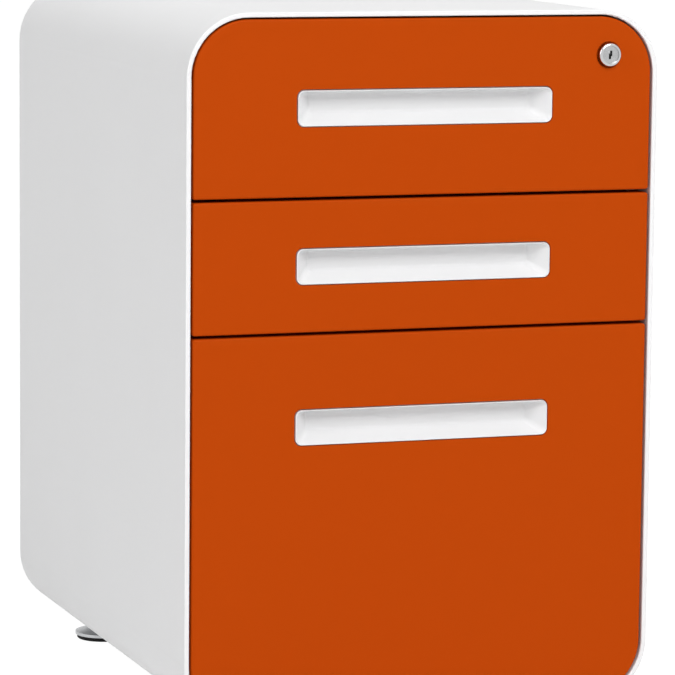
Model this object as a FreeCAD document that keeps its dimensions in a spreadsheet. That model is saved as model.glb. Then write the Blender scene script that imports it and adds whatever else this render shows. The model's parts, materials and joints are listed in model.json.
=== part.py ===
import FreeCAD, Part
import math
import os
import re
import Sketcher

# Three-drawer pedestal cabinet: a wrapped steel case, three drawers on ball-bearing slides, a gang lock
# and four levelling feet.  Millimetres; +Z up from the floor, the fronts face -Y, the middle is X = 0.

os.makedirs("parts", exist_ok=True)
doc = FreeCAD.newDocument("FilingCabinet")
sheet = doc.addObject("Spreadsheet::Sheet", "Sizes")

SIZES = [
    # case
    ("case_width", 400.0, "outside width of the wrapped case"),
    ("case_depth", 520.0, "front edge to rear edge of the case"),
    ("case_height", 572.0, "outside height of the wrapped case"),
    ("floor_clear", 28.0, "floor to the underside of the case"),
    ("corner_radius", 51.0, "outside radius of the four bends of the wrap"),
    ("case_metal", 1.2, "thickness of the wrap"),
    ("lip_width", 4.0, "width of the folded front edge"),
    ("hem_depth", 16.0, "how far the front edge is folded back inside"),
    ("lip_round", 1.0, "rounding of the folded front edge"),
    ("back_inset", 2.0, "rear edge to the back panel"),
    ("back_metal", 1.0, "thickness of the back panel"),
    ("back_flange", 8.0, "depth of the back panel's turned edge"),
    ("back_round", 0.8, "rounding of the back panel's bend"),
    ("overcut", 1.0, "how far a cut runs past the metal it goes through"),
    # inner frame
    ("upright_width", 12.1, "wrap to slide, across an upright"),
    ("upright_depth", 30.0, "front to rear of an upright"),
    ("frame_metal", 1.5, "thickness of uprights and base channels"),
    ("upright_end", 1.0, "upright's end to the bend of the wrap"),
    ("channel_width", 39.0, "front to rear of a base channel"),
    ("channel_rise", 20.0, "height of a base channel"),
    ("channel_end", 4.0, "base channel's end to the bend of the wrap"),
    ("channel_front", 5.5, "back of the fronts to the front base channel"),
    ("channel_rear", 0.5, "rear base channel to the back panel"),
    # drawer fronts
    ("front_recess", 0.5, "case edge to the face of the fronts"),
    ("front_depth", 20.0, "depth of a folded drawer front"),
    ("front_metal", 1.0, "thickness of a drawer front"),
    ("front_round", 1.8, "rounding round the face of a front"),
    ("front_corner", 2.2, "corner radius beside a gap between fronts"),
    ("side_gap", 1.8, "lip to front at the sides"),
    ("end_gap", 1.6, "lip to front at top and bottom"),
    ("front_gap", 2.6, "gap between two fronts"),
    ("file_front_rise", 309.1, "height of the file drawer's front"),
    ("middle_front_rise", 105.4, "height of the middle drawer's front"),
    ("turn_in", 30.0, "width of a front's turned-in back edge"),
    ("lock_turn_in", 50.0, "width of that edge behind the lock"),
    # handle cups
    ("handle_width", 216.0, "outside width of a handle cup's rim"),
    ("handle_rise", 28.3, "outside height of the rim"),
    ("handle_corner", 5.3, "outside corner radius of the rim"),
    ("handle_rim", 0.6, "width of the rim"),
    ("handle_proud", 0.5, "how far the rim stands off the face"),
    ("handle_depth", 18.0, "face to the back of the cup"),
    ("handle_wall", 1.4, "wall of the cup"),
    ("handle_slope", 13.0, "how far the cup's ends lean in"),
    ("handle_floor", 9.0, "how far the cup's floor climbs to its back"),
    ("handle_roof", 1.0, "how far the cup's roof drops to its back"),
    ("handle_bend", 4.0, "corner radius at the back of the cup"),
    ("handle_play", 0.8, "gap round the rim in its opening"),
    ("handle_collar", 3.0, "how deep a front is turned in round its handle"),
    ("collar_round", 0.6, "rounding of a front's edge round its handle and the lock"),
    ("handle_flange", 5.0, "width of the flange behind the turned-in edge"),
    ("handle_lap", 0.5, "how far the rim runs on into the flange"),
    ("handle_round", 2.8, "rounding at the back of the cup, inside and out"),
    ("rim_round", 0.25, "rounding of the rim's edges"),
    ("handle_drop", 74.0, "top edge of the file front to its handle's middle"),
    # drawer boxes
    ("box_depth", 450.0, "front to rear of a drawer box"),
    ("box_metal", 0.9, "thickness of a drawer box"),
    ("hem_rise", 8.0, "height of the hem folded inwards along a box's top edge"),
    ("top_headroom", 49.0, "top of the top drawer's box to the top of its front"),
    ("middle_headroom", 13.7, "top of the middle drawer's box to the top of its front"),
    ("small_box_lift", 8.7, "bottom of a small front to its box"),
    ("file_box_lift", 22.0, "bottom of the file front to its box"),
    ("file_headroom", 24.7, "top of the file box to the top of its front"),
    ("small_slide_lift", 32.0, "bottom of a small box to its slides' middle"),
    ("file_slide_lift", 120.0, "bottom of the file box to its slides' middle"),
    ("catch_lift", 31.0, "middle of the slides to a lock catch"),
    ("catch_rise", 8.0, "height of a lock catch"),
    ("catch_reach", 5.0, "how far a catch stands off the box"),
    ("catch_length", 14.0, "front to rear of a catch"),
    ("catch_metal", 1.6, "thickness of a catch"),
    ("catch_space", 1.0, "lock bar to the catches behind it"),
    ("rail_metal", 2.0, "thickness of a hanging rail"),
    ("rail_rise", 12.0, "height of a hanging rail over the box"),
    ("rail_drop", 6.0, "how far a rail reaches into the box"),
    ("rail_inset", 14.0, "side of the box to a rail's middle"),
    ("rail_play", 0.3, "play between a rail's notches and the box"),
    # slides
    ("slide_rise", 45.7, "height of a cabinet member"),
    ("slide_thick", 12.7, "box to upright, across a slide"),
    ("slide_setback", 35.0, "face of the fronts to the slides' front ends"),
    ("slide_rear", 33.5, "rear edge of the case to the slides' rear ends"),
    ("track_metal", 1.5, "thickness of the slides' ball tracks"),
    ("web_metal", 1.2, "thickness of the slides' webs"),
    ("web_gap", 1.2, "space between two webs"),
    ("track_inset", 2.5, "box to the edge of a cabinet member's track"),
    ("track_step", 0.7, "edge of a cabinet member's track to the middle member's"),
    ("lip_rise", 0.9, "height of the edge that keeps the balls in"),
    ("lip_metal", 0.6, "thickness of that edge"),
    ("outer_ball", 3.9, "diameter of the balls in the cabinet member"),
    ("inner_ball", 2.9, "diameter of the balls on the drawer member"),
    ("ball_play", 0.07, "play above and below a ball"),
    ("cage_metal", 0.5, "thickness of a ball cage"),
    ("cage_play", 0.12, "play round a ball in its cage"),
    ("cage_length", 200.0, "length of a ball cage"),
    ("cage_end", 12.0, "end of a cage to its last ball"),
    ("outer_cage_inset", 0.4, "edge of the track to the outer cage's edge"),
    ("inner_cage_inset", 0.8, "edge of the middle member's track to the inner cage's edge"),
    ("outer_ball_inset", 3.0, "edge of the track to the middle of an outer ball"),
    ("inner_ball_inset", 2.5, "edge of the track to the middle of an inner ball"),
    ("rivet_radius", 2.0, "radius of a slide rivet"),
    ("rivet_head", 3.5, "radius of a rivet's head"),
    ("rivet_rise", 1.2, "height of a rivet's head"),
    ("box_rivet_end", 30.0, "front and rear of the box to its slide rivets"),
    ("screw_radius", 2.0, "radius of a front screw"),
    ("screw_head", 4.0, "radius of a front screw's head"),
    ("screw_rise", 2.2, "height of a front screw's head"),
    ("screw_reach", 7.0, "how far a front screw reaches into the front"),
    ("screw_inset", 5.3, "side of the box to its front screws"),
    ("screw_end", 14.0, "top and bottom of the box to its front screws"),
    ("hole_play", 0.05, "play round a rivet or screw in its hole"),
    # lock
    ("lock_side", 43.0, "side of the case to the middle of the lock"),
    ("lock_top", 36.5, "top of the case to the middle of the lock"),
    ("lock_proud", 4.5, "how far the bezel stands off the face"),
    ("lock_well", 2.5, "depth of the dimple round the lock"),
    ("lock_well_play", 1.1, "bezel to the side of the dimple"),
    ("bezel_radius", 9.5, "outside radius of the bezel"),
    ("bezel_round", 1.8, "rounding of the bezel's front edge"),
    ("barrel_radius", 8.5, "radius of the lock barrel"),
    ("plug_radius", 7.2, "radius of the turning plug"),
    ("plug_play", 0.05, "running play of the plug in the barrel"),
    ("plug_recess", 1.0, "bezel's front to the plug's face"),
    ("key_width", 1.9, "width of the keyway"),
    ("key_rise", 6.8, "height of the keyway"),
    ("key_step", 0.5, "how far the keyway's ends stand to either side"),
    ("key_depth", 14.0, "depth of the keyway"),
    ("lock_reach", 24.0, "face of the front to the barrel's rear end"),
    ("nut_depth", 3.0, "thickness of the lock nut"),
    ("nut_flats", 22.0, "lock nut across its flats"),
    ("cam_metal", 2.0, "thickness of the lock cam"),
    ("cam_radius", 11.0, "radius of the lock cam"),
    ("cam_space", 0.5, "barrel to cam"),
    ("pin_offset", 7.0, "axis of the lock to the cam's pin"),
    ("pin_radius", 2.0, "radius of the cam's pin"),
    ("pin_reach", 6.6, "how far the pin stands off the cam"),
    ("tail_width", 7.0, "square tail of the plug"),
    ("tail_lap", 0.5, "how far the tail runs on into the plug"),
    ("cam_screw_radius", 1.5, "radius of the cam screw"),
    ("cam_screw_head", 3.5, "radius of the cam screw's head"),
    ("cam_screw_rise", 1.8, "height of the cam screw's head"),
    ("cam_screw_reach", 6.0, "length of the cam screw's shank"),
    ("cam_screw_room", 2.0, "depth of its hole past the shank"),
    ("bar_setback", 30.0, "face of the fronts to the lock bar"),
    ("bar_metal", 2.0, "thickness of the lock bar"),
    ("bar_play", 3.0, "lock bar to the wrap"),
    ("slot_play", 0.5, "play round the pin in the lock bar's slot"),
    ("arm_rise", 15.0, "height of the lock bar's arm"),
    ("arm_end", 3.0, "middle of the lock to the end of the arm"),
    ("arm_shoulder", 1.5, "side of the bar to where the arm's slanted top starts"),
    ("bar_end", 7.0, "bend of the wrap to the top of the bar"),
    ("bar_foot", 20.0, "lower end of the bar to the lowest tab's top"),
    ("tab_lift", 19.0, "middle of the slides to a tab of the bar"),
    ("tab_rise", 10.0, "height of a tab"),
    ("tab_play", 2.5, "box to the end of a tab"),
    ("guide_radius", 2.25, "radius of the bar's guide rivets"),
    ("guide_head", 4.0, "radius of their heads"),
    ("guide_rise", 1.5, "height of their heads"),
    ("guide_tail", 2.8, "radius of their riveted ends"),
    ("guide_play", 0.3, "play round a guide rivet in its slot"),
    ("guide_space", 0.3, "guide rivets' heads to the lock bar"),
    # feet
    ("foot_side", 71.0, "side of the case to a foot"),
    ("foot_radius", 25.5, "radius of a foot's flange"),
    ("foot_rim", 2.6, "height of the flange's rim"),
    ("foot_cone", 5.6, "height of the flange's cone"),
    ("foot_neck", 7.0, "radius of the cone's top"),
    ("pad_radius", 24.0, "radius of a foot's pad"),
    ("pad_rise", 3.8, "thickness of a foot's pad"),
    ("pad_bevel", 0.8, "bevel round the underside of a pad"),
    ("collar_flats", 17.0, "foot's spanner collar across its flats"),
    ("collar_play", 0.3, "collar to the case"),
    ("collar_lap", 1.0, "how far the collar runs on into the cone"),
    ("stud_radius", 5.0, "radius of a foot's stud"),
    ("stud_play", 0.05, "running play of the stud in its nut"),
    ("stud_hole", 5.6, "radius of the hole for the stud"),
    ("stud_reach", 19.0, "case underside to the stud's top"),
    ("foot_nut_flats", 17.0, "foot nut across its flats"),
    ("foot_nut_rise", 8.0, "height of a foot nut"),
]

for row, (alias, size, note) in enumerate(SIZES, 1):
    sheet.set(f"A{row}", alias)
    sheet.set(f"B{row}", str(size))
    sheet.set(f"C{row}", note)
    sheet.setAlias(f"B{row}", alias)
doc.recompute()

ALIASES = re.compile(r"\b(" + "|".join(alias for alias, _, _ in SIZES) + r")\b")

# Planes and levels that several pieces share, in the sheet's own names.
EDGE = "((lock_proud - front_recess - case_depth) / 2)"  # front edge of the case
REAR = f"({EDGE} + case_depth)"
FACE = f"({EDGE} + front_recess)"  # face of the drawer fronts
PAN_BACK = f"({FACE} + front_depth)"
BOX_BACK = f"({PAN_BACK} + box_depth)"
SLIDE_FRONT = f"({FACE} + slide_setback)"
SLIDE_BACK = f"({REAR} - slide_rear)"
TOP = "(floor_clear + case_height)"
FLOOR = "(floor_clear + case_metal)"  # inside of the case
WRAP_X = "(case_width / 2 - case_metal)"  # inside of the wrap
SLIDE_X = f"({WRAP_X} - upright_width)"
BOX_X = f"({SLIDE_X} - slide_thick)"
FRONT_X = "(case_width / 2 - lip_width - side_gap)"
FRONT_BEND = "(corner_radius - lip_width - side_gap)"
LOCK_X = "(case_width / 2 - lock_side)"
LOCK_Z = f"({TOP} - lock_top)"
BAR_FRONT = f"({FACE} + bar_setback)"
BAR_BACK = f"({BAR_FRONT} + bar_metal)"
PIN_ANGLE = 45  # degrees; the cam's pin stands this far below the lock's middle, and above it when locked
PIN_X = f"(pin_offset * cos({PIN_ANGLE}))"
PIN_DROP = f"(pin_offset * sin({PIN_ANGLE}))"
BAR_LIFT = f"(2 * {PIN_DROP})"
CAM_FRONT = f"({FACE} + lock_reach + cam_space)"
CAM_BACK = f"({CAM_FRONT} + cam_metal)"
CHANNEL_X = "(case_width / 2 - corner_radius - channel_end)"
FOOT_X = "(case_width / 2 - foot_side)"
FRONT_FOOT_Y = f"({PAN_BACK} + channel_front + channel_width / 2)"
REAR_FOOT_Y = f"({REAR} - back_inset - back_flange - channel_rear - channel_width / 2)"

FILE_LOW = "(floor_clear + lip_width + end_gap)"
FILE_TOP = f"({FILE_LOW} + file_front_rise)"
MIDDLE_LOW = f"({FILE_TOP} + front_gap)"
MIDDLE_TOP = f"({MIDDLE_LOW} + middle_front_rise)"
TOP_LOW = f"({MIDDLE_TOP} + front_gap)"
TOP_TOP = f"({TOP} - lip_width - end_gap)"


def drawer(name, low, top, handle, box_low, box_top, slide, bends):
    """Levels of one drawer; bends are the corner radii of its front, anticlockwise from low left."""
    return dict(name=name, low=low, top=top, handle=handle, box_low=box_low, box_top=box_top,
                slide=slide, bends=bends)


def small_drawer(name, low, top, headroom, bends):
    box = f"({low} + small_box_lift)"
    return drawer(name, low, top, f"(({low} + {top}) / 2)", box, f"({top} - {headroom})",
                  f"({box} + small_slide_lift)", bends)


SHARP = "front_corner"
DRAWERS = [
    small_drawer("top", TOP_LOW, TOP_TOP, "top_headroom", (SHARP, SHARP, FRONT_BEND, FRONT_BEND)),
    small_drawer("middle", MIDDLE_LOW, MIDDLE_TOP, "middle_headroom", (SHARP, SHARP, SHARP, SHARP)),
    drawer("file", FILE_LOW, FILE_TOP, f"({FILE_TOP} - handle_drop)", f"({FILE_LOW} + file_box_lift)",
           f"({FILE_TOP} - file_headroom)", f"({FILE_LOW} + file_box_lift + file_slide_lift)",
           (FRONT_BEND, FRONT_BEND, SHARP, SHARP)),
]

PIECES = []
NEAR = 0.01  # places closer than this are taken as one
LEAST_CUT = 0.01  # cubic millimetres; a cut that takes less has missed
PLANES = {"XY": "XY_Plane", "XZ": "XZ_Plane", "YZ": "YZ_Plane"}


# ---- small tools for sketches and features ------------------------------------------------------------
def expression(text):
    return ALIASES.sub(r"Sizes.\1", str(text))


def value(text):
    return float(sheet.evalExpression(expression(text)))


def bind(target, path, text):
    target.setExpression(path, expression(text))


def body_at(name, x="0", y="0", z="0", kept=True):
    """A new body whose own origin stands at x, y, z."""
    body = doc.addObject("PartDesign::Body", name)
    body.Label = name
    for letter, text in zip("xyz", (x, y, z)):
        if text != "0":
            bind(body, f"Placement.Base.{letter}", text)
    if kept:
        PIECES.append(body)
    return body


def sketch_on(body, plane, at="0"):
    """A sketch parallel to one of the body's planes; at is its place along the third axis."""
    sketch = body.newObject("Sketcher::SketchObject", f"{body.Name}_sketch")
    support = next(f for f in body.Origin.OriginFeatures if f.Role == PLANES[plane])
    sketch.AttachmentSupport = [(support, "")]
    sketch.MapMode = "FlatFace"
    bind(sketch, "AttachmentOffset.Base.z", f"-({at})" if plane == "XZ" else at)
    return sketch


def dimension(sketch, kind, text, *where):
    index = sketch.addConstraint(Sketcher.Constraint(kind, *where, value(text)))
    bind(sketch, f"Constraints[{index}]", text)


def pin_point(sketch, curve, end, x, y):
    dimension(sketch, "DistanceX", x, -1, 1, curve, end)
    dimension(sketch, "DistanceY", y, -1, 1, curve, end)


def point(x, y):
    return FreeCAD.Vector(value(x), value(y), 0)


def outline(sketch, corners):
    """A closed outline of straight sides through the corners."""
    ends = [point(x, y) for x, y in corners]
    first = sketch.GeometryCount
    count = len(corners)
    for k in range(count):
        sketch.addGeometry(Part.LineSegment(ends[k], ends[(k + 1) % count]))
    for k in range(count):
        following = first + (k + 1) % count
        sketch.addConstraint(Sketcher.Constraint("Coincident", first + k, 2, following, 1))
        pin_point(sketch, first + k, 1, *corners[k])


def rectangle(sketch, x0, y0, x1, y1):
    outline(sketch, [(x0, y0), (x1, y0), (x1, y1), (x0, y1)])


def circle(sketch, x, y, radius):
    curve = sketch.addGeometry(Part.Circle(point(x, y), FreeCAD.Vector(0, 0, 1), value(radius)))
    dimension(sketch, "Radius", radius, curve)
    pin_point(sketch, curve, 3, x, y)


def hexagon(sketch, x, y, flats):
    angles = [f"{30 + 60 * k}" for k in range(6)]
    reach = f"({flats}) / 2 / cos(30)"
    outline(sketch, [(f"{x} + {reach} * cos({a})", f"{y} + {reach} * sin({a})") for a in angles])


def rounded(sketch, x0, y0, x1, y1, bends):
    """A rectangle with rounded corners; bends are their radii, anticlockwise from low left."""
    if isinstance(bends, str):
        bends = (bends,) * 4
    corners = [(x0, y0, 1, 1), (x1, y0, -1, 1), (x1, y1, -1, -1), (x0, y1, 1, -1)]
    starts, stops, centres = [], [], []
    for k, ((x, y, right, up), bend) in enumerate(zip(corners, bends)):
        along_x = (f"{x} + {right} * ({bend})", y)
        along_y = (x, f"{y} + {up} * ({bend})")
        starts.append(along_y if k % 2 == 0 else along_x)
        stops.append(along_x if k % 2 == 0 else along_y)
        centres.append((along_x[0], along_y[1]))
    first = sketch.GeometryCount
    for k, bend in enumerate(bends):
        begin = math.radians(180 + 90 * k)
        round_part = Part.Circle(point(*centres[k]), FreeCAD.Vector(0, 0, 1), value(bend))
        sketch.addGeometry(Part.ArcOfCircle(round_part, begin, begin + math.pi / 2))
        sketch.addGeometry(Part.LineSegment(point(*stops[k]), point(*starts[(k + 1) % 4])))
    for k, bend in enumerate(bends):
        arc, side = first + 2 * k, first + 2 * k + 1
        following = first + (2 * k + 2) % 8
        dimension(sketch, "Radius", bend, arc)
        sketch.addConstraint(Sketcher.Constraint("Coincident", arc, 2, side, 1))
        sketch.addConstraint(Sketcher.Constraint("Coincident", side, 2, following, 1))
        pin_point(sketch, side, 1, *stops[k])
        pin_point(sketch, side, 2, *starts[(k + 1) % 4])


def pad(body, sketch, length, side="One side"):
    feature = body.newObject("PartDesign::Pad", f"{body.Name}_pad")
    feature.Profile = sketch
    feature.SideType = side
    bind(feature, "Length", length)
    return feature


def pocket(body, sketch, length, side="One side"):
    """Cuts against the sketch's own direction: towards +Y on XZ, -Z on XY and -X on YZ."""
    feature = body.newObject("PartDesign::Pocket", f"{body.Name}_pocket")
    feature.Profile = sketch
    feature.SideType = side
    bind(feature, "Length", length)
    return feature


def revolve(body, sketch):
    feature = body.newObject("PartDesign::Revolution", f"{body.Name}_turned")
    feature.Profile = sketch
    feature.ReferenceAxis = (sketch, ["V_Axis"])
    return feature


def fillet(body, radius, chosen):
    """Rounds the edges of the body so far for which chosen(edge) holds."""
    doc.recompute()
    base = body.Tip
    names = [f"Edge{n}" for n, edge in enumerate(base.Shape.Edges, 1) if chosen(edge)]
    feature = body.newObject("PartDesign::Fillet", f"{body.Name}_round")
    feature.Base = (base, names)
    bind(feature, "Radius", radius)
    return feature


def lies_at_y(y):
    """Chooses the edges that lie in the plane Y = y."""
    level = value(y)
    return lambda edge: max(abs(edge.BoundBox.YMin - level), abs(edge.BoundBox.YMax - level)) < NEAR


def compound(name, members):
    group = doc.addObject("Part::Compound", name)
    group.Label = name
    group.Links = members
    PIECES.append(group)
    return group


# ---- case -----------------------------------------------------------------------------------------------
def case_outline(sketch, inset):
    """The case's rounded outline, seen from the front, moved inwards by inset."""
    rounded(sketch, f"-case_width / 2 + {inset}", f"floor_clear + {inset}", f"case_width / 2 - ({inset})",
            f"{TOP} - ({inset})", f"corner_radius - ({inset})")


def case_shell():
    body = body_at("case_shell")
    wrap = sketch_on(body, "XZ", REAR)
    case_outline(wrap, "0")
    pad(body, wrap, "case_depth")
    inside = sketch_on(body, "XZ", f"{EDGE} + case_metal")
    case_outline(inside, "case_metal")
    pocket(body, inside, "case_depth")
    mouth = sketch_on(body, "XZ", f"{EDGE} - overcut")
    case_outline(mouth, "lip_width")
    pocket(body, mouth, "case_metal + 2 * overcut")
    hem = sketch_on(body, "XZ", f"{EDGE} + hem_depth")
    case_outline(hem, "lip_width - case_metal")
    case_outline(hem, "lip_width")
    pad(body, hem, "hem_depth - case_metal / 2")
    holes = sketch_on(body, "XY", f"{FLOOR} + overcut")
    for side in (-1, 1):
        for y in (FRONT_FOOT_Y, REAR_FOOT_Y):
            circle(holes, f"{side} * {FOOT_X}", y, "stud_hole")
    pocket(body, holes, "case_metal + 2 * overcut")
    fillet(body, "lip_round", lies_at_y(EDGE))


def back_panel():
    body = body_at("back_panel")
    plate = sketch_on(body, "XZ", f"{REAR} - back_inset")
    case_outline(plate, "case_metal")
    pad(body, plate, "back_flange")
    hollow = sketch_on(body, "XZ", f"{REAR} - back_inset - back_flange - overcut")
    case_outline(hollow, "case_metal + back_metal")
    pocket(body, hollow, "back_flange - back_metal + overcut")
    fillet(body, "back_round", lies_at_y(f"{REAR} - back_inset"))


def upright(place, side, back):
    """A C-shaped post between the wrap and the slides; back is 1 for the rear pair."""
    foot_end = "(floor_clear + corner_radius + upright_end)"
    body = body_at(f"upright_{place}", z=foot_end)
    turn = -1 if back else 1
    start = SLIDE_BACK if back else SLIDE_FRONT
    near, far = SLIDE_X, WRAP_X
    steps = [(near, "0"), (far, "0"), (far, "upright_depth"), (f"{far} - frame_metal", "upright_depth"),
             (f"{far} - frame_metal", "frame_metal"), (f"{near} + frame_metal", "frame_metal"),
             (f"{near} + frame_metal", "upright_depth"), (near, "upright_depth")]
    section = sketch_on(body, "XY")
    outline(section, [(f"{side} * ({x})", f"{start} + {turn} * ({y})") for x, y in steps])
    pad(body, section, "case_height - 2 * (corner_radius + upright_end)")
    holes = sketch_on(body, "YZ", f"{side} * ({near} + frame_metal / 2)")
    for each in DRAWERS:
        circle(holes, rivet_y(back), f"{each['slide']} - {foot_end}", "rivet_radius + hole_play")
    pocket(body, holes, "frame_metal + overcut", "Symmetric")
    if side == 1 and not back:
        guides = sketch_on(body, "XZ", f"{start} + frame_metal / 2")
        for level in GUIDE_LEVELS:
            circle(guides, GUIDE_X, f"{level} - {foot_end}", "guide_radius + hole_play")
        pocket(body, guides, "frame_metal + overcut", "Symmetric")


def rivet_y(back):
    """Where a cabinet member's rivet stands, in the middle of the front or rear upright."""
    return f"({SLIDE_BACK} - upright_depth / 2)" if back else f"({SLIDE_FRONT} + upright_depth / 2)"


def box_rivet_y(back):
    """Where a drawer member's rivet stands, in from the front or rear of the drawer box."""
    return f"({BOX_BACK} - box_rivet_end)" if back else f"({PAN_BACK} + box_rivet_end)"


def base_channel(place, y):
    """A channel on the case's floor, open downwards, over the nuts of two feet."""
    body = body_at(f"base_channel_{place}", y=y, z=FLOOR)
    half, wall = "channel_width / 2", "frame_metal"
    section = sketch_on(body, "YZ")
    outline(section, [(f"-{half}", "0"), (f"-{half}", "channel_rise"), (half, "channel_rise"), (half, "0"),
                      (f"{half} - {wall}", "0"), (f"{half} - {wall}", f"channel_rise - {wall}"),
                      (f"-{half} + {wall}", f"channel_rise - {wall}"), (f"-{half} + {wall}", "0")])
    pad(body, section, f"2 * {CHANNEL_X}", "Symmetric")


# ---- slides ---------------------------------------------------------------------------------------------
# A slide's section is drawn from the drawer box outwards (0 at the box) and from its own middle up.
TRACK = "(slide_rise / 2 - track_metal)"  # underside of the cabinet member's upper track
MIDDLE_OUT = f"({TRACK} - outer_ball - 2 * ball_play)"
MIDDLE_IN = f"({MIDDLE_OUT} - track_metal)"
DRAWER_OUT = f"({MIDDLE_IN} - inner_ball - 2 * ball_play)"
DRAWER_IN = f"({DRAWER_OUT} - track_metal)"
OUTER_WEB = "(slide_thick - web_metal)"
MIDDLE_WEB = f"({OUTER_WEB} - web_gap - web_metal)"
OUTER_BALLS = f"(({TRACK} + {MIDDLE_OUT}) / 2)"
INNER_BALLS = f"(({MIDDLE_IN} + {DRAWER_OUT}) / 2)"
TRACK_START = "track_inset"
MIDDLE_START = "(track_inset - track_step)"
DRAWER_TIP = f"({MIDDLE_WEB} - web_gap)"


def channel_section(web_in, web_out, tip, out, inner, lip):
    """Half of a C-shaped member, from its web round the upper track; lip is added at the track's edge."""
    return [(web_out, out), (tip, out), (tip, inner if lip >= 0 else f"{inner} - lip_rise")] + (
        [(f"{tip} + lip_metal", f"{inner} - lip_rise"), (f"{tip} + lip_metal", inner)] if lip < 0 else []
    ) + [(web_in, inner)]


def mirrored(half):
    """A whole section from its upper half."""
    return half + [(x, f"-({z})") for x, z in reversed(half)]


def member_outline(sketch, side, level, half):
    """Draws a member's section on one side of the drawer, its middle at the given level."""
    outline(sketch, [(f"{side} * ({BOX_X} + {x})", f"{level} + ({z})") for x, z in mirrored(half)])


def outer_half():
    return channel_section(OUTER_WEB, "slide_thick", TRACK_START, "slide_rise / 2", TRACK, -1)


def middle_half():
    web_out = f"({MIDDLE_WEB} + web_metal)"
    return [(web_out, MIDDLE_OUT), (f"{MIDDLE_START} + lip_metal", MIDDLE_OUT),
            (f"{MIDDLE_START} + lip_metal", f"{MIDDLE_OUT} + lip_rise"),
            (MIDDLE_START, f"{MIDDLE_OUT} + lip_rise"), (MIDDLE_START, MIDDLE_IN), (MIDDLE_WEB, MIDDLE_IN)]


def drawer_half():
    return channel_section("web_metal", "0", DRAWER_TIP, DRAWER_OUT, DRAWER_IN, 1)


SLIDE_LENGTH = f"({SLIDE_BACK} - {SLIDE_FRONT})"


def slide_member(name, side, level, half):
    """One straight member along the whole slide, with a rivet hole at each upright."""
    body = body_at(name, z=level)
    section = sketch_on(body, "XZ", SLIDE_BACK)
    member_outline(section, side, "0", half)
    pad(body, section, SLIDE_LENGTH)
    outer = "outer" in name
    web = f"{OUTER_WEB} + web_metal / 2" if outer else "web_metal / 2"
    holes = sketch_on(body, "YZ", f"{side} * ({BOX_X} + {web})")
    for back in (0, 1):
        y = rivet_y(back) if outer else box_rivet_y(back)
        circle(holes, y, "0", "rivet_radius + hole_play")
    pocket(body, holes, "web_metal + overcut", "Symmetric")


def middle_members(each):
    """The two travelling members of a drawer's slides."""
    body = body_at(f"{each['name']}_slide_middle", z=each["slide"])
    for side in (-1, 1):
        section = sketch_on(body, "XZ", SLIDE_BACK)
        member_outline(section, side, "0", middle_half())
        pad(body, section, SLIDE_LENGTH)


CAGE_BACK = f"(({SLIDE_FRONT} + {SLIDE_BACK}) / 2 + cage_length / 2)"
BALLS_PER_ROW = 6


def ball_cage(name, each, web, reach, row, ball, ball_x):
    """The two ball cages of one stage, left and right, with the balls they carry."""
    members = []
    for side in (-1, 1):
        cage = body_at(f"{name}_{'left' if side < 0 else 'right'}", z=each["slide"], kept=False)
        half = "cage_metal / 2"
        strip = [(f"{web} + {half}", f"{row} + {half}"), (reach, f"{row} + {half}"),
                 (reach, f"{row} - {half}"), (f"{web} - {half}", f"{row} - {half}")]
        section = sketch_on(cage, "XZ", CAGE_BACK)
        member_outline(section, side, "0", strip)
        pad(cage, section, "cage_length")
        holes = sketch_on(cage, "XY")
        x = f"{side} * ({BOX_X} + {ball_x})"
        pitch = f"(cage_length - 2 * cage_end) / {BALLS_PER_ROW - 1}"
        for n in range(BALLS_PER_ROW):
            y = f"{CAGE_BACK} - cage_end - {n} * {pitch}"
            circle(holes, x, y, f"{ball} / 2 + cage_play")
            for up in (-1, 1):
                sphere = doc.addObject("Part::Sphere", f"{name}_ball")
                bind(sphere, "Radius", f"{ball} / 2")
                bind(sphere, "Placement.Base.x", x)
                bind(sphere, "Placement.Base.y", y)
                bind(sphere, "Placement.Base.z", f"{each['slide']} + {up} * {row}")
                members.append(sphere)
        pocket(cage, holes, "slide_rise", "Symmetric")
        members.append(cage)
    compound(name, members)


def slides(each):
    name = each["name"]
    for side, word in ((-1, "left"), (1, "right")):
        slide_member(f"{name}_slide_outer_{word}", side, each["slide"], outer_half())
        slide_member(f"{name}_slide_inner_{word}", side, each["slide"], drawer_half())
    middle_members(each)
    outer_gap = f"({OUTER_WEB} - web_gap / 2)"
    inner_gap = f"({MIDDLE_WEB} - web_gap / 2)"
    ball_cage(f"{name}_outer_ball_cage", each, outer_gap, f"{TRACK_START} + outer_cage_inset", OUTER_BALLS,
              "outer_ball", f"({TRACK_START} + outer_ball_inset)")
    ball_cage(f"{name}_inner_ball_cage", each, inner_gap, f"{MIDDLE_START} + inner_cage_inset", INNER_BALLS,
              "inner_ball", f"({TRACK_START} + inner_ball_inset)")


def case_rivets():
    """Two flush rivets through each cabinet member and upright, with heads inside the upright."""
    body = body_at("slide_rivets")
    for side in (-1, 1):
        for start, length, radius in (
                (f"{SLIDE_X} - web_metal", "web_metal + frame_metal + rivet_rise", "rivet_radius"),
                (f"{SLIDE_X} + frame_metal", "rivet_rise", "rivet_head")):
            rows = sketch_on(body, "YZ", f"{side} * ({start} + ({length}) / 2)")
            for each in DRAWERS:
                for back in (0, 1):
                    circle(rows, rivet_y(back), each["slide"], radius)
            pad(body, rows, length, "Symmetric")


# ---- drawers --------------------------------------------------------------------------------------------
def front_outline(sketch, each, inset):
    bends = tuple(f"{bend} - ({inset})" for bend in each["bends"])
    rounded(sketch, f"-{FRONT_X} + {inset}", f"{each['low']} + {inset}", f"{FRONT_X} - ({inset})",
            f"{each['top']} - ({inset})", bends)


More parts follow.
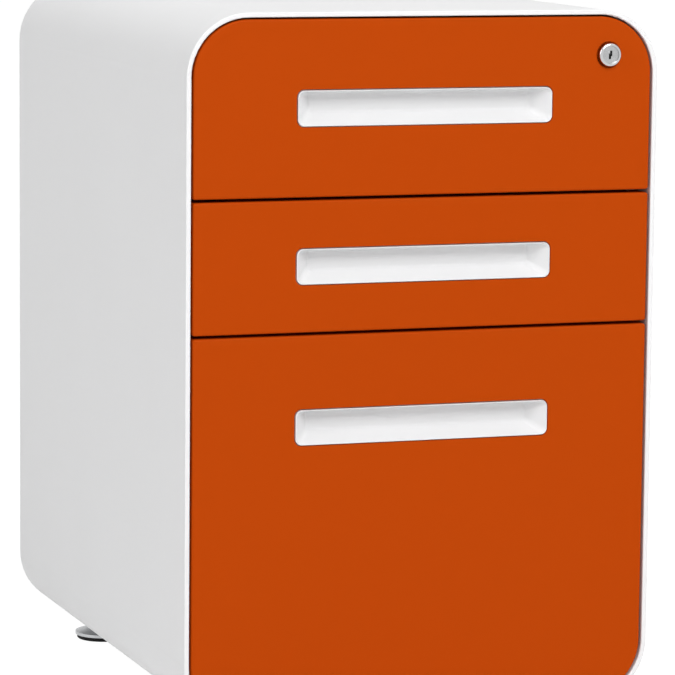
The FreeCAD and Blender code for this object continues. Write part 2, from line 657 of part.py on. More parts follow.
def screw_places(each):
    """Front screws, near the corners of the drawer box."""
    for side in (-1, 1):
        for z in (f"{each['box_low']} + screw_end", f"{each['box_top']} - screw_end"):
            yield f"{side} * ({BOX_X} - screw_inset)", z


def drawer_front(each):
    body = body_at(f"{each['name']}_drawer_front")
    face = sketch_on(body, "XZ", PAN_BACK)
    front_outline(face, each, "0")
    pad(body, face, "front_depth")
    hollow = sketch_on(body, "XZ", f"{FACE} + front_metal")
    front_outline(hollow, each, "front_metal")
    pocket(body, hollow, "front_depth - 2 * front_metal")
    opening = sketch_on(body, "XZ", f"{PAN_BACK} - front_metal - overcut")
    high = "lock_turn_in" if each["name"] == "top" else "turn_in"
    rectangle(opening, f"-{FRONT_X} + turn_in", f"{each['low']} + turn_in", f"{FRONT_X} - turn_in",
              f"{each['top']} - {high}")
    pocket(body, opening, "front_metal + 2 * overcut")
    cup = sketch_on(body, "XZ", f"{FACE} - overcut")
    handle_outline(cup, each, "-handle_play")
    pocket(body, cup, "front_metal + 2 * overcut")
    collar = sketch_on(body, "XZ", f"{FACE} + handle_collar")
    handle_outline(collar, each, "-handle_play")
    handle_outline(collar, each, "-(handle_play + front_metal)")
    pad(body, collar, "handle_collar - front_metal / 2")
    screws = sketch_on(body, "XZ", f"{PAN_BACK} - front_metal - overcut")
    for x, z in screw_places(each):
        circle(screws, x, z, "screw_radius + hole_play")
    pocket(body, screws, "front_metal + 2 * overcut")
    if each["name"] == "top":
        lock_dimple(body)
    in_face = lies_at_y(FACE)
    edge_x, low, high = value(FRONT_X) - NEAR, value(each["low"]) + NEAR, value(each["top"]) - NEAR

    def outer(edge):
        box = edge.BoundBox
        return box.XMin < -edge_x or box.XMax > edge_x or box.ZMin < low or box.ZMax > high

    fillet(body, "collar_round", lambda edge: in_face(edge) and not outer(edge))
    fillet(body, "front_round", lambda edge: in_face(edge) and outer(edge))


def lock_dimple(body):
    """The round dimple in the top front that the bezel sits in, and the barrel's hole."""
    side = "(bezel_radius + lock_well_play)"
    wall = sketch_on(body, "XZ", f"{FACE} + lock_well + front_metal")
    circle(wall, LOCK_X, LOCK_Z, f"{side} + front_metal")
    pad(body, wall, "lock_well + front_metal / 2")
    for radius, depth in ((side, "lock_well"), ("barrel_radius + hole_play", "front_depth + overcut")):
        bore = sketch_on(body, "XZ", f"{FACE} - overcut")
        circle(bore, LOCK_X, LOCK_Z, radius)
        pocket(body, bore, f"{depth} + overcut")


def drawer_box(each):
    """Five sheets welded at the corners: a floor, two sides and two ends, hemmed along the top."""
    name = f"{each['name']}_drawer_box"
    rise = f"({each['box_top']} - {each['box_low']})"
    hem_low = f"({rise} - hem_rise)"
    inner_x = f"({BOX_X} - box_metal)"
    hem_x = f"({BOX_X} - 2 * box_metal)"
    members = []

    def metal(word):
        members.append(body_at(f"{name}_{word}", z=each["box_low"], kept=False))
        return members[-1]

    def slab(body, back, length, x0, z0, x1, z1):
        face = sketch_on(body, "XZ", back)
        rectangle(face, x0, z0, x1, z1)
        pad(body, face, length)

    floor = metal("floor")
    slab(floor, BOX_BACK, "box_depth", f"-{BOX_X}", "0", BOX_X, "box_metal")
    for side, word in ((-1, "left"), (1, "right")):
        wall = metal(word)
        slab(wall, BOX_BACK, "box_depth", f"{side} * {inner_x}", "box_metal", f"{side} * {BOX_X}", rise)
        slab(wall, f"{BOX_BACK} - box_metal", "box_depth - 2 * box_metal", f"{side} * {hem_x}", hem_low,
             f"{side} * {inner_x}", rise)
        rivets = sketch_on(wall, "YZ", f"{side} * ({BOX_X} - box_metal / 2)")
        for back in (0, 1):
            circle(rivets, box_rivet_y(back), f"{each['slide']} - {each['box_low']}",
                   "rivet_radius + hole_play")
        pocket(wall, rivets, "box_metal + overcut", "Symmetric")
    lock_catch(wall, each)
    for word, back, hem_back in (("front", f"{PAN_BACK} + box_metal", f"{PAN_BACK} + 2 * box_metal"),
                                 ("back", BOX_BACK, f"{BOX_BACK} - box_metal")):
        wall = metal(word)
        slab(wall, back, "box_metal", f"-{inner_x}", "box_metal", inner_x, rise)
        slab(wall, hem_back, "box_metal", f"-{hem_x}", hem_low, hem_x, rise)
        if word == "front":
            screws = sketch_on(wall, "XZ", f"{PAN_BACK} - overcut")
            for x, z in screw_places(each):
                circle(screws, x, f"{z} - {each['box_low']}", "screw_radius + hole_play")
            pocket(wall, screws, "box_metal + 2 * overcut")
    compound(name, members)


def lock_catch(wall, each):
    """The angle on a drawer's right side that the lock bar's tab stops."""
    catch = sketch_on(wall, "XY", f"{each['slide']} - {each['box_low']} + catch_lift")
    near, far = f"{BAR_BACK} + catch_space", f"{BAR_BACK} + catch_space + catch_length"
    outline(catch, [(BOX_X, near), (f"{BOX_X} + catch_reach", near),
                    (f"{BOX_X} + catch_reach", f"{near} + catch_metal"),
                    (f"{BOX_X} + catch_metal", f"{near} + catch_metal"),
                    (f"{BOX_X} + catch_metal", far), (BOX_X, far)])
    pad(wall, catch, "catch_rise")


def handle_outline(sketch, each, inset):
    rounded(sketch, f"-handle_width / 2 + {inset}", f"{each['handle']} - handle_rise / 2 + {inset}",
            f"handle_width / 2 - ({inset})", f"{each['handle']} + handle_rise / 2 - ({inset})",
            f"handle_corner - ({inset})")


def handle_back(sketch, each, grow):
    """The cup's far end, shorter and lower than its mouth; grow is its wall."""
    side = f"(handle_width / 2 - handle_rim - handle_slope + {grow})"
    top = f"{each['handle']} + handle_rise / 2 - handle_rim - handle_roof + {grow}"
    low = f"{each['handle']} - handle_rise / 2 + handle_rim + handle_floor - {grow}"
    rounded(sketch, f"-{side}", low, side, top, f"handle_bend + {grow}")


def loft(body, kind, first, last):
    feature = body.newObject(f"PartDesign::{kind}Loft", f"{body.Name}_{kind.lower()}")
    feature.Profile = first
    feature.Sections = [last]
    feature.Ruled = True
    return feature


def handle(each):
    """A pressed cup: a thin rim in the front's opening, a flange behind that and leaning walls."""
    body = body_at(f"{each['name']}_handle")
    rim = sketch_on(body, "XZ", f"{FACE} + handle_collar + handle_lap")
    handle_outline(rim, each, "0")
    pad(body, rim, "handle_collar + handle_lap + handle_proud")
    flange = sketch_on(body, "XZ", f"{FACE} + handle_collar + handle_wall")
    handle_outline(flange, each, "-handle_flange")
    pad(body, flange, "handle_wall")
    near = sketch_on(body, "XZ", f"{FACE} + handle_collar + handle_wall / 2")
    handle_outline(near, each, "0")
    far = sketch_on(body, "XZ", f"{FACE} + handle_depth")
    handle_back(far, each, "handle_wall")
    loft(body, "Additive", near, far)
    fillet(body, "handle_round", lies_at_y(f"{FACE} + handle_depth"))
    mouth = sketch_on(body, "XZ", f"{FACE} - handle_proud")
    handle_outline(mouth, each, "handle_rim")
    end = sketch_on(body, "XZ", f"{FACE} + handle_depth - handle_wall")
    handle_back(end, each, "0")
    loft(body, "Subtractive", mouth, end)
    fillet(body, "handle_round", lies_at_y(f"{FACE} + handle_depth - handle_wall"))
    fillet(body, "rim_round", lies_at_y(f"{FACE} - handle_proud"))


def drawer_screws(each):
    """Four screws that hold the front on its box, and four flush rivets that hold the drawer members."""
    body = body_at(f"{each['name']}_drawer_screws")
    inside = f"{PAN_BACK} + box_metal"
    for back, length, radius in (
            (inside, "box_metal + front_metal + screw_reach", "screw_radius"),
            (f"{inside} + screw_rise", "screw_rise", "screw_head")):
        screws = sketch_on(body, "XZ", back)
        for x, z in screw_places(each):
            circle(screws, x, z, radius)
        pad(body, screws, length)
    for side in (-1, 1):
        for start, length, radius in (
                (f"{BOX_X} - box_metal - rivet_rise", "rivet_rise + box_metal + web_metal", "rivet_radius"),
                (f"{BOX_X} - box_metal - rivet_rise", "rivet_rise", "rivet_head")):
            rivets = sketch_on(body, "YZ", f"{side} * ({start} + ({length}) / 2)")
            for back in (0, 1):
                circle(rivets, box_rivet_y(back), each["slide"], radius)
            pad(body, rivets, length, "Symmetric")


def hanging_rails(each):
    """Two flat rails, front to rear over the file box, notched over its hemmed ends."""
    body = body_at("file_hanging_rails", z=each["box_top"])
    near, far = f"{PAN_BACK} + rail_play", BOX_BACK
    in_near = f"{PAN_BACK} + 2 * box_metal + rail_play"
    in_far = f"{BOX_BACK} - 2 * box_metal - rail_play"
    for side in (-1, 1):
        section = sketch_on(body, "YZ", f"{side} * ({BOX_X} - rail_inset)")
        outline(section, [(near, "0"), (in_near, "0"), (in_near, "-rail_drop"), (in_far, "-rail_drop"),
                          (in_far, "0"), (far, "0"), (far, "rail_rise"), (near, "rail_rise")])
        pad(body, section, "rail_metal", "Symmetric")


# ---- lock -----------------------------------------------------------------------------------------------
def lock_housing():
    body = body_at("lock_housing", x=LOCK_X, z=LOCK_Z)
    barrel = sketch_on(body, "XZ", f"{FACE} + lock_reach")
    circle(barrel, "0", "0", "barrel_radius")
    pad(body, barrel, "lock_reach")
    bezel = sketch_on(body, "XZ", f"{FACE} + lock_well")
    circle(bezel, "0", "0", "bezel_radius")
    pad(body, bezel, "lock_proud + lock_well")
    bore = sketch_on(body, "XZ", f"{FACE} - lock_proud - overcut")
    circle(bore, "0", "0", "plug_radius + plug_play")
    pocket(body, bore, "lock_proud + lock_reach + 2 * overcut")
    mouth = lies_at_y(f"{FACE} - lock_proud")
    radius = value("bezel_radius")
    fillet(body, "bezel_round", lambda edge: mouth(edge) and abs(edge.Curve.Radius - radius) < NEAR)


def lock_nut():
    body = body_at("lock_nut", x=LOCK_X, z=LOCK_Z)
    blank = sketch_on(body, "XZ", f"{PAN_BACK} + nut_depth")
    hexagon(blank, "0", "0", "nut_flats")
    circle(blank, "0", "0", "barrel_radius + hole_play")
    pad(body, blank, "nut_depth")


def lock_plug():
    """The turning plug: a round face with the keyway, and a square tail for the cam."""
    body = body_at("lock_plug", x=LOCK_X, z=LOCK_Z)
    back = f"{FACE} + lock_reach + cam_space / 2"
    front = f"{FACE} - lock_proud + plug_recess"
    plug = sketch_on(body, "XZ", back)
    circle(plug, "0", "0", "plug_radius")
    pad(body, plug, f"{back} - ({front})")
    tail = sketch_on(body, "XZ", CAM_BACK)
    rectangle(tail, "-tail_width / 2", "-tail_width / 2", "tail_width / 2", "tail_width / 2")
    pad(body, tail, f"{CAM_BACK} - ({back}) + tail_lap")
    keyway = sketch_on(body, "XZ", f"{front} - overcut")
    left, right, half, third = "-key_width / 2", "key_width / 2", "key_rise / 2", "key_rise / 6"
    outline(keyway, [(f"{left} - key_step", f"-{half}"), (f"{right} - key_step", f"-{half}"),
                     (f"{right} - key_step", f"-{third}"), (f"{right} + key_step", f"-{third}"),
                     (f"{right} + key_step", half), (f"{left} + key_step", half),
                     (f"{left} + key_step", third), (f"{left} - key_step", third)])
    pocket(body, keyway, "key_depth + overcut")
    thread = sketch_on(body, "XZ", f"{CAM_BACK} + overcut")
    circle(thread, "0", "0", "cam_screw_radius + hole_play")
    hole = pocket(body, thread, "cam_screw_reach + cam_screw_room + overcut")
    hole.Reversed = True


def lock_cam():
    """A disc on the plug's tail whose pin lifts the lock bar; at rest the pin is low on the right."""
    body = body_at("lock_cam", x=LOCK_X, z=LOCK_Z)
    disc = sketch_on(body, "XZ", CAM_BACK)
    circle(disc, "0", "0", "cam_radius")
    tail = "tail_width / 2 + hole_play"
    rectangle(disc, f"-({tail})", f"-({tail})", tail, tail)
    pad(body, disc, "cam_metal")
    pin = sketch_on(body, "XZ", f"{CAM_BACK} + pin_reach")
    circle(pin, PIN_X, f"-{PIN_DROP}", "pin_radius")
    pad(body, pin, "pin_reach + cam_metal / 2")


def cam_screw():
    body = body_at("lock_cam_screw", x=LOCK_X, z=LOCK_Z)
    head = sketch_on(body, "XZ", f"{CAM_BACK} + cam_screw_rise")
    circle(head, "0", "0", "cam_screw_head")
    pad(body, head, "cam_screw_rise")
    shank = sketch_on(body, "XZ", CAM_BACK)
    circle(shank, "0", "0", "cam_screw_radius")
    pad(body, shank, "cam_screw_reach")


BAR_IN = SLIDE_X
BAR_OUT = f"({WRAP_X} - bar_play)"
GUIDE_X = f"(({BAR_IN} + {BAR_OUT}) / 2)"
GUIDE_LEVELS = [f"(({DRAWERS[n]['slide']} + {DRAWERS[n + 1]['slide']}) / 2)" for n in (0, 1)]
SLOT_Z = f"({LOCK_Z} - {PIN_DROP})"  # the pin's level at rest
SLOT_BEND = 0.96  # corner radius of a slot, as a share of its half width


def lock_bar():
    """A flat bar behind the fronts: an arm over the lock's pin, and a tab at each drawer's catch."""
    body = body_at("lock_bar")
    strip = sketch_on(body, "XZ", BAR_BACK)
    arm_left, arm_right = f"({LOCK_X} - arm_end)", f"({BAR_IN} + arm_shoulder)"
    arm_low, arm_top = f"({SLOT_Z} - arm_rise / 2)", f"({SLOT_Z} + arm_rise / 2)"
    low = f"({DRAWERS[2]['slide']} + tab_lift + tab_rise - bar_foot)"
    corners = [(BAR_IN, low), (BAR_OUT, low), (BAR_OUT, f"{TOP} - corner_radius - bar_end"),
               (arm_right, arm_top), (arm_left, arm_top), (arm_left, arm_low), (BAR_IN, arm_low)]
    for each in DRAWERS:
        tab_low = f"({each['slide']} + tab_lift)"
        tab_top = f"({tab_low} + tab_rise)"
        corners += [(BAR_IN, tab_top), (f"{BOX_X} + tab_play", tab_top),
                    (f"{BOX_X} + tab_play", tab_low), (BAR_IN, tab_low)]
    outline(strip, corners)
    pad(body, strip, "bar_metal")
    slots = sketch_on(body, "XZ", f"{BAR_FRONT} + bar_metal / 2")
    side = "guide_radius + guide_play"
    for level in GUIDE_LEVELS:
        rounded(slots, f"{GUIDE_X} - ({side})", f"{level} - {BAR_LIFT} - ({side})", f"{GUIDE_X} + {side}",
                f"{level} + {side}", f"({side}) * {SLOT_BEND}")
    hole = "pin_radius + slot_play"
    rounded(slots, f"{LOCK_X} + {PIN_X} - ({hole})", f"{SLOT_Z} - ({hole})",
            f"{LOCK_X} + pin_offset + {hole}", f"{SLOT_Z} + {hole}", f"({hole}) * {SLOT_BEND}")
    pocket(body, slots, "bar_metal + 2 * overcut", "Symmetric")


def guide_rivets():
    """Shouldered rivets on the right front upright that hold and guide the lock bar."""
    body = body_at("lock_bar_guides")
    wall_back = f"{SLIDE_FRONT} + frame_metal"
    head_back = f"{BAR_FRONT} - guide_space"
    for back, front, radius in ((f"{wall_back} + guide_rise", head_back, "guide_radius"),
                                (head_back, f"{head_back} - guide_rise", "guide_head"),
                                (f"{wall_back} + guide_rise", wall_back, "guide_tail")):
        rivets = sketch_on(body, "XZ", back)
        for level in GUIDE_LEVELS:
            circle(rivets, GUIDE_X, level, radius)
        pad(body, rivets, f"{back} - ({front})")


# ---- feet -----------------------------------------------------------------------------------------------
def foot(place, x, y):
    steel = body_at(f"foot_{place}", x=x, y=y)
    cone_top = "pad_rise + foot_rim + foot_cone"
    half = sketch_on(steel, "XZ")
    outline(half, [("0", "pad_rise"), ("foot_radius", "pad_rise"), ("foot_radius", "pad_rise + foot_rim"),
                   ("foot_neck", cone_top), ("stud_radius", cone_top),
                   ("stud_radius", "floor_clear + stud_reach"), ("0", "floor_clear + stud_reach")])
    revolve(steel, half)
    collar = sketch_on(steel, "XY", "floor_clear - collar_play")
    hexagon(collar, "0", "0", "collar_flats")
    length = f"floor_clear - collar_play - ({cone_top}) + collar_lap"
    spanner = pad(steel, collar, length)
    spanner.Reversed = True
    rubber = body_at(f"foot_pad_{place}", x=x, y=y)
    half = sketch_on(rubber, "XZ")
    outline(half, [("0", "0"), ("pad_radius - pad_bevel", "0"), ("pad_radius", "pad_bevel"),
                   ("pad_radius", "pad_rise"), ("0", "pad_rise")])
    revolve(rubber, half)


def foot_nuts():
    body = body_at("foot_nuts", z=FLOOR)
    blanks = sketch_on(body, "XY")
    for side in (-1, 1):
        for y in (FRONT_FOOT_Y, REAR_FOOT_Y):
            hexagon(blanks, f"{side} * {FOOT_X}", y, "foot_nut_flats")
            circle(blanks, f"{side} * {FOOT_X}", y, "stud_radius + stud_play")
    pad(body, blanks, "foot_nut_rise")


# ---- the whole cabinet ----------------------------------------------------------------------------------
case_shell()
back_panel()
for side, word in ((-1, "left"), (1, "right")):
    upright(f"front_{word}", side, 0)
    upright(f"rear_{word}", side, 1)
    foot(f"front_{word}", f"{side} * {FOOT_X}", FRONT_FOOT_Y)
    foot(f"rear_{word}", f"{side} * {FOOT_X}", REAR_FOOT_Y)
base_channel("front", FRONT_FOOT_Y)
base_channel("rear", REAR_FOOT_Y)
foot_nuts()
case_rivets()
for each in DRAWERS:
    slides(each)
    drawer_front(each)
    drawer_box(each)
    handle(each)
    drawer_screws(each)
hanging_rails(DRAWERS[2])
lock_housing()
lock_nut()
lock_plug()
lock_cam()
cam_screw()
lock_bar()
guide_rivets()
doc.recompute()

# ---- checks, then one file for each piece ---------------------------------------------------------------
for thing in doc.Objects:
    if "Invalid" in thing.State or "Error" in thing.State:
        raise RuntimeError(f"{thing.Label} failed: {thing.State}")
    if thing.isDerivedFrom("PartDesign::Pocket") and thing.BaseFeature is not None:
        if thing.BaseFeature.Shape.Volume - thing.Shape.Volume < LEAST_CUT:
            raise RuntimeError(f"{thing.Label} cuts nothing")
for piece in PIECES:
    if piece.Shape.isNull() or not piece.Shape.isValid():
        raise RuntimeError(f"{piece.Label} has no valid shape")
for piece in PIECES:
    piece.Shape.exportStep(f"parts/{piece.Label}.step")
print(len(PIECES), "pieces")
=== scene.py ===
import json
import math

import bpy
from mathutils import Matrix, Vector


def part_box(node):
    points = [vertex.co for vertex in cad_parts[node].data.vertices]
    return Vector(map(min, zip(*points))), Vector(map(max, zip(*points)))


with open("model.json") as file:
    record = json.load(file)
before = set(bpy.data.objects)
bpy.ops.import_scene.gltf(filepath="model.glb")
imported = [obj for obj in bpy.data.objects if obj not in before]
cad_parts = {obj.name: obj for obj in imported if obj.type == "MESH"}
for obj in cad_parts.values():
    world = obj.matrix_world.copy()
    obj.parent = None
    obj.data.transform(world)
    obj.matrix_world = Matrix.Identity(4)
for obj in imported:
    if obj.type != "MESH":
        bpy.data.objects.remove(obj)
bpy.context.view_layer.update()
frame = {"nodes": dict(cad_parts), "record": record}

# Camera: a long lens, left of the cabinet's middle and a little above it.
CAMERA_PLACE = (-1.0869, -3.1698, 0.7569)
CAMERA_YAW = math.radians(19.19)
CAMERA_PITCH = math.radians(7.69)
CAMERA_ROLL = math.radians(0.55)
CAMERA_LENS = 207.95
CAMERA_FILM = 36.0

# Soft square lamps, all aimed at one point: name, place, side and watts.
LAMP_AIM = (0.0, 0.0, 0.35)
LAMPS = (
    ("overhead", (0.8, 0.2, 3.2), 3.0, 18.4),
    ("front", (0.4, -5.0, 4.3), 3.6, 285.0),
    ("left", (-4.9, -1.0, 2.2), 3.2, 74.0),
)

# Strength of the light from all round, at the horizon and overhead; it changes between them up to a
# direction that rises this far in a length of 1.
SKY_HORIZON = 0.36
SKY_OVERHEAD = 0.24
SKY_RISE = 0.6

# The floor's side, its own white, and how much of that covers the lit floor where it is seen.
FLOOR_SIDE = 60.0
FLOOR_GLOW = 1.16
FLOOR_GLOW_SHARE = 0.84

# Paint, metal, rubber and floor, as linear colours.
CASE_WHITE = (0.84, 0.84, 0.845)
DRAWER_WHITE = (0.80, 0.80, 0.805)
FRAME_WHITE = (0.74, 0.74, 0.745)
ORANGE = (0.478, 0.057, 0.0008)
ZINC = (0.60, 0.61, 0.63)
FOOT_ZINC = (0.52, 0.53, 0.54)
BALL_STEEL = (0.52, 0.53, 0.55)
NICKEL = (0.46, 0.465, 0.47)
CHROME_DARK, CHROME_LIGHT = (0.52, 0.525, 0.53), (0.60, 0.605, 0.61)
RUBBER_DARK, RUBBER_LIGHT = (0.006, 0.006, 0.006), (0.014, 0.014, 0.014)
FLOOR_DARK, FLOOR_LIGHT = (0.87, 0.87, 0.87), (0.88, 0.88, 0.88)

# How a texture is scaled on X, Y and Z where its streaks run along Y, and where it has none.
STREAKS_ALONG_Y = (1.0, 0.04, 1.0)
NO_STREAKS = (1.0, 1.0, 1.0)

# From ring to ring of the lock's turned face, and a wave texture's radians to a metre at a scale of 1.
RING_PITCH = 0.0005
WAVE_RADIANS = 20.0


# ---- materials ------------------------------------------------------------------------------------------
class Nodes:
    """The node tree of one new material, with short calls to add and join nodes."""

    def __init__(self, name):
        self.material = bpy.data.materials.new(name)
        self.material.use_nodes = True
        self.tree = self.material.node_tree
        self.shader = self.tree.nodes["Principled BSDF"]
        self.place = self.add("ShaderNodeTexCoord").outputs["Object"]

    def add(self, kind, **settings):
        node = self.tree.nodes.new(kind)
        for key, setting in settings.items():
            setattr(node, key, setting)
        return node

    def link(self, source, target):
        self.tree.links.new(source, target)

    def set(self, **values):
        """Sets the shader's sockets; an underscore in a name stands for a space."""
        for key, number in values.items():
            self.shader.inputs[key.replace("_", " ")].default_value = number

    def noise(self, scale, detail=2.0, stretch=None):
        """Noise over the object; stretch scales its three axes."""
        noise = self.add("ShaderNodeTexNoise")
        noise.inputs["Scale"].default_value = scale
        noise.inputs["Detail"].default_value = detail
        source = self.place
        if stretch:
            mapping = self.add("ShaderNodeMapping")
            mapping.inputs["Scale"].default_value = stretch
            self.link(source, mapping.inputs["Vector"])
            source = mapping.outputs["Vector"]
        self.link(source, noise.inputs["Vector"])
        return noise.outputs["Fac"]

    def rings(self, node, pitch):
        """Rings of a given pitch round the middle of a CAD node, about an axis along Y."""
        low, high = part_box(node)
        axis = self.add("ShaderNodeMapping", vector_type="TEXTURE")
        axis.inputs["Location"].default_value = ((low[0] + high[0]) / 2, 0.0, (low[2] + high[2]) / 2)
        self.link(self.place, axis.inputs["Vector"])
        wave = self.add("ShaderNodeTexWave", wave_type="RINGS", rings_direction="Y")
        wave.inputs["Scale"].default_value = 2 * math.pi / (WAVE_RADIANS * pitch)
        self.link(axis.outputs["Vector"], wave.inputs["Vector"])
        return wave.outputs["Fac"]

    def colours(self, source, first, last):
        """Colours the shader from first to last as the source runs from 0 to 1."""
        mix = self.add("ShaderNodeMix", data_type="RGBA")
        mix.inputs["A"].default_value = (*first, 1.0)
        mix.inputs["B"].default_value = (*last, 1.0)
        self.link(source, mix.inputs["Factor"])
        self.link(mix.outputs["Result"], self.shader.inputs["Base Color"])

    def roughness(self, source, low, high, start=0.3, stop=0.7):
        """Roughness that runs from low to high as the source runs from start to stop."""
        span = self.add("ShaderNodeMapRange")
        for key, number in (("From Min", start), ("From Max", stop), ("To Min", low), ("To Max", high)):
            span.inputs[key].default_value = number
        self.link(source, span.inputs["Value"])
        self.link(span.outputs["Result"], self.shader.inputs["Roughness"])

    def bump(self, *layers):
        """Bump from pairs of a height and its depth in metres, one pair on top of the other."""
        normal = None
        for height, depth in layers:
            bump = self.add("ShaderNodeBump")
            bump.inputs["Distance"].default_value = depth
            self.link(height, bump.inputs["Height"])
            if normal:
                self.link(normal, bump.inputs["Normal"])
            normal = bump.outputs["Normal"]
        self.link(normal, self.shader.inputs["Normal"])


def scaled(colour, share):
    return tuple(part * share for part in colour)


def powder_coat(name, colour, rough, gloss):
    """Baked powder paint: a fine orange-peel skin and a faint drift of tone."""
    nodes = Nodes(name)
    nodes.set(Specular_IOR_Level=gloss)
    nodes.colours(nodes.noise(7.0, 3.0), scaled(colour, 0.985), scaled(colour, 1.01))
    nodes.roughness(nodes.noise(220.0), rough - 0.04, rough + 0.04)
    nodes.bump((nodes.noise(1100.0, 1.0), 0.00003), (nodes.noise(340.0, 1.0), 0.00004))
    return nodes.material


def plated_steel(name, colour, rough, stretch=STREAKS_ALONG_Y):
    """Plated steel: streaks from the rolling, where it has them, and a cloudy lustre."""
    nodes = Nodes(name)
    nodes.set(Metallic=1.0)
    nodes.colours(nodes.noise(60.0, 4.0), scaled(colour, 0.86), scaled(colour, 1.04))
    streaks = nodes.noise(900.0, 3.0, stretch)
    nodes.roughness(streaks, rough - 0.07, rough + 0.1)
    nodes.bump((streaks, 0.00002))
    return nodes.material


def chrome(name):
    nodes = Nodes(name)
    nodes.set(Metallic=1.0)
    nodes.colours(nodes.noise(90.0), CHROME_DARK, CHROME_LIGHT)
    nodes.roughness(nodes.noise(700.0, 3.0), 0.05, 0.1)
    return nodes.material


def turned_nickel(name, node):
    """Nickel with the fine rings that a lathe leaves on the face of a node."""
    nodes = Nodes(name)
    nodes.set(Metallic=1.0)
    nodes.colours(nodes.noise(400.0, 3.0), scaled(NICKEL, 0.88), scaled(NICKEL, 1.08))
    rings = nodes.rings(node, RING_PITCH)
    nodes.roughness(rings, 0.2, 0.3, 0.0, 1.0)
    nodes.bump((rings, 0.00003))
    return nodes.material


def rubber(name):
    nodes = Nodes(name)
    nodes.set(Specular_IOR_Level=0.15)
    nodes.colours(nodes.noise(300.0), RUBBER_DARK, RUBBER_LIGHT)
    nodes.roughness(nodes.noise(400.0), 0.6, 0.75)
    nodes.bump((nodes.noise(1500.0), 0.00005))
    return nodes.material


def finishes():
    """The material of each of the record's slots."""
    return {
        "white_coat": powder_coat("white_powder_coat", CASE_WHITE, 0.46, 0.3),
        "orange_coat": powder_coat("orange_powder_coat", ORANGE, 0.5, 0.04),
        "handle_coat": powder_coat("handle_powder_coat", DRAWER_WHITE, 0.4, 0.3),
        "inner_coat": powder_coat("inner_powder_coat", DRAWER_WHITE, 0.5, 0.3),
        "frame_coat": powder_coat("frame_powder_coat", FRAME_WHITE, 0.52, 0.3),
        "zinc_steel": plated_steel("zinc_plate", ZINC, 0.34),
        "ball_steel": plated_steel("ball_steel", BALL_STEEL, 0.22),
        "foot_steel": plated_steel("foot_zinc", FOOT_ZINC, 0.38, NO_STREAKS),
        "chrome": chrome("lock_chrome"),
        "lock_plug": turned_nickel("plug_nickel", "lock_plug"),
        "black_rubber": rubber("foot_rubber"),
    }


def dress_nodes():
    """Gives every CAD node the finish of its slot."""
    materials = finishes()
    for part in frame["record"]["subparts"]:
        mesh = frame["nodes"][part["node"]].data
        mesh.materials.clear()
        mesh.materials.append(materials[part["material_slot"]])


# ---- stage ----------------------------------------------------------------------------------------------
def picture_rays(tree):
    """A socket that is 1 for camera, glossy and transmission rays, which all see the backdrop white."""
    path = tree.nodes.new("ShaderNodeLightPath")
    seen = path.outputs["Is Camera Ray"]
    for kind in ("Is Glossy Ray", "Is Transmission Ray"):
        either = tree.nodes.new("ShaderNodeMath")
        either.operation = "MAXIMUM"
        tree.links.new(seen, either.inputs[0])
        tree.links.new(path.outputs[kind], either.inputs[1])
        seen = either.outputs[0]
    return seen


def floor():
    """A wide pale floor, seen almost white, with the cabinet's shadow left in it."""
    bpy.ops.mesh.primitive_plane_add(size=FLOOR_SIDE, location=(0.0, 0.0, 0.0))
    plane = bpy.context.object
    plane.name = "floor"
    nodes = Nodes("floor_white")
    nodes.set(Specular_IOR_Level=0.0, Roughness=0.8)
    nodes.colours(nodes.noise(2.0), FLOOR_DARK, FLOOR_LIGHT)
    glow = nodes.add("ShaderNodeEmission")
    glow.inputs["Strength"].default_value = FLOOR_GLOW
    share = nodes.add("ShaderNodeMath", operation="MULTIPLY")
    share.inputs[1].default_value = FLOOR_GLOW_SHARE
    mix = nodes.add("ShaderNodeMixShader")
    nodes.link(picture_rays(nodes.tree), share.inputs[0])
    nodes.link(share.outputs[0], mix.inputs["Fac"])
    nodes.link(nodes.shader.outputs["BSDF"], mix.inputs[1])
    nodes.link(glow.outputs["Emission"], mix.inputs[2])
    nodes.link(mix.outputs["Shader"], nodes.tree.nodes["Material Output"].inputs["Surface"])
    plane.data.materials.append(nodes.material)


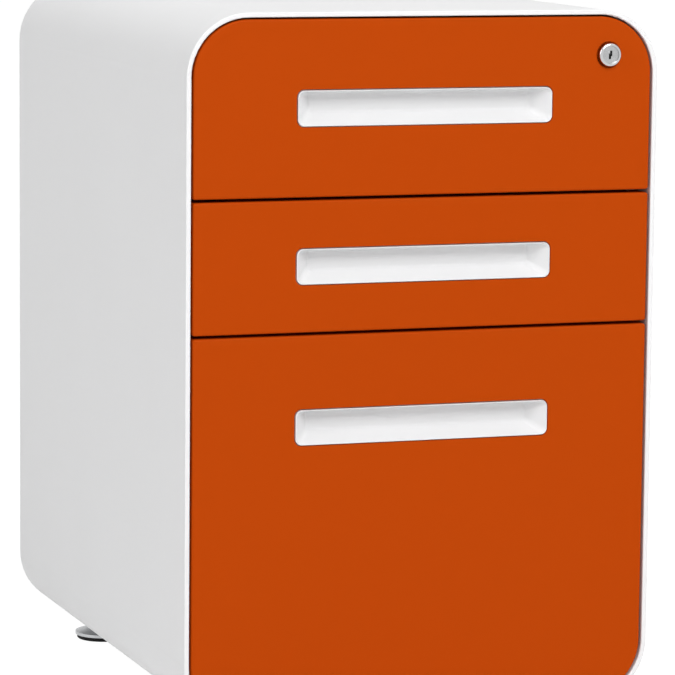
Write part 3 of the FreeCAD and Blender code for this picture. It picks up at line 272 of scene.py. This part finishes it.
def sky():
    """Soft light from all round, which is seen white."""
    world = bpy.data.worlds.new("studio")
    world.use_nodes = True
    tree = world.node_tree
    background = tree.nodes["Background"]
    background.inputs["Color"].default_value = (1.0, 1.0, 1.0, 1.0)
    direction = tree.nodes.new("ShaderNodeTexCoord")
    parts = tree.nodes.new("ShaderNodeSeparateXYZ")
    rise = tree.nodes.new("ShaderNodeMapRange")
    rise.inputs["From Max"].default_value = SKY_RISE
    rise.inputs["To Min"].default_value = SKY_HORIZON
    rise.inputs["To Max"].default_value = SKY_OVERHEAD
    seen = tree.nodes.new("ShaderNodeMix")
    seen.inputs["B"].default_value = 1.0
    tree.links.new(direction.outputs["Generated"], parts.inputs["Vector"])
    tree.links.new(parts.outputs["Z"], rise.inputs["Value"])
    tree.links.new(picture_rays(tree), seen.inputs["Factor"])
    tree.links.new(rise.outputs["Result"], seen.inputs["A"])
    tree.links.new(seen.outputs["Result"], background.inputs["Strength"])
    bpy.context.scene.world = world


def softbox(name, place, side, watts):
    lamp = bpy.data.lights.new(name, "AREA")
    lamp.shape = "SQUARE"
    lamp.size = side
    lamp.energy = watts
    holder = bpy.data.objects.new(name, lamp)
    holder.location = place
    holder.rotation_euler = (Vector(LAMP_AIM) - Vector(place)).to_track_quat("-Z", "Y").to_euler()
    bpy.context.collection.objects.link(holder)


def camera():
    lens = bpy.data.cameras.new("camera")
    lens.lens = CAMERA_LENS
    lens.sensor_width = CAMERA_FILM
    holder = bpy.data.objects.new("camera", lens)
    turn = Matrix.Rotation(-CAMERA_YAW, 4, "Z")
    tilt = Matrix.Rotation(math.pi / 2 - CAMERA_PITCH, 4, "X")
    roll = Matrix.Rotation(CAMERA_ROLL, 4, "Z")
    holder.matrix_world = Matrix.Translation(CAMERA_PLACE) @ turn @ tilt @ roll
    bpy.context.collection.objects.link(holder)
    bpy.context.scene.camera = holder


# ---- the scene ------------------------------------------------------------------------------------------
camera()
sky()
for lamp in LAMPS:
    softbox(*lamp)
floor()
dress_nodes()
bpy.context.scene.view_settings.view_transform = "Standard"
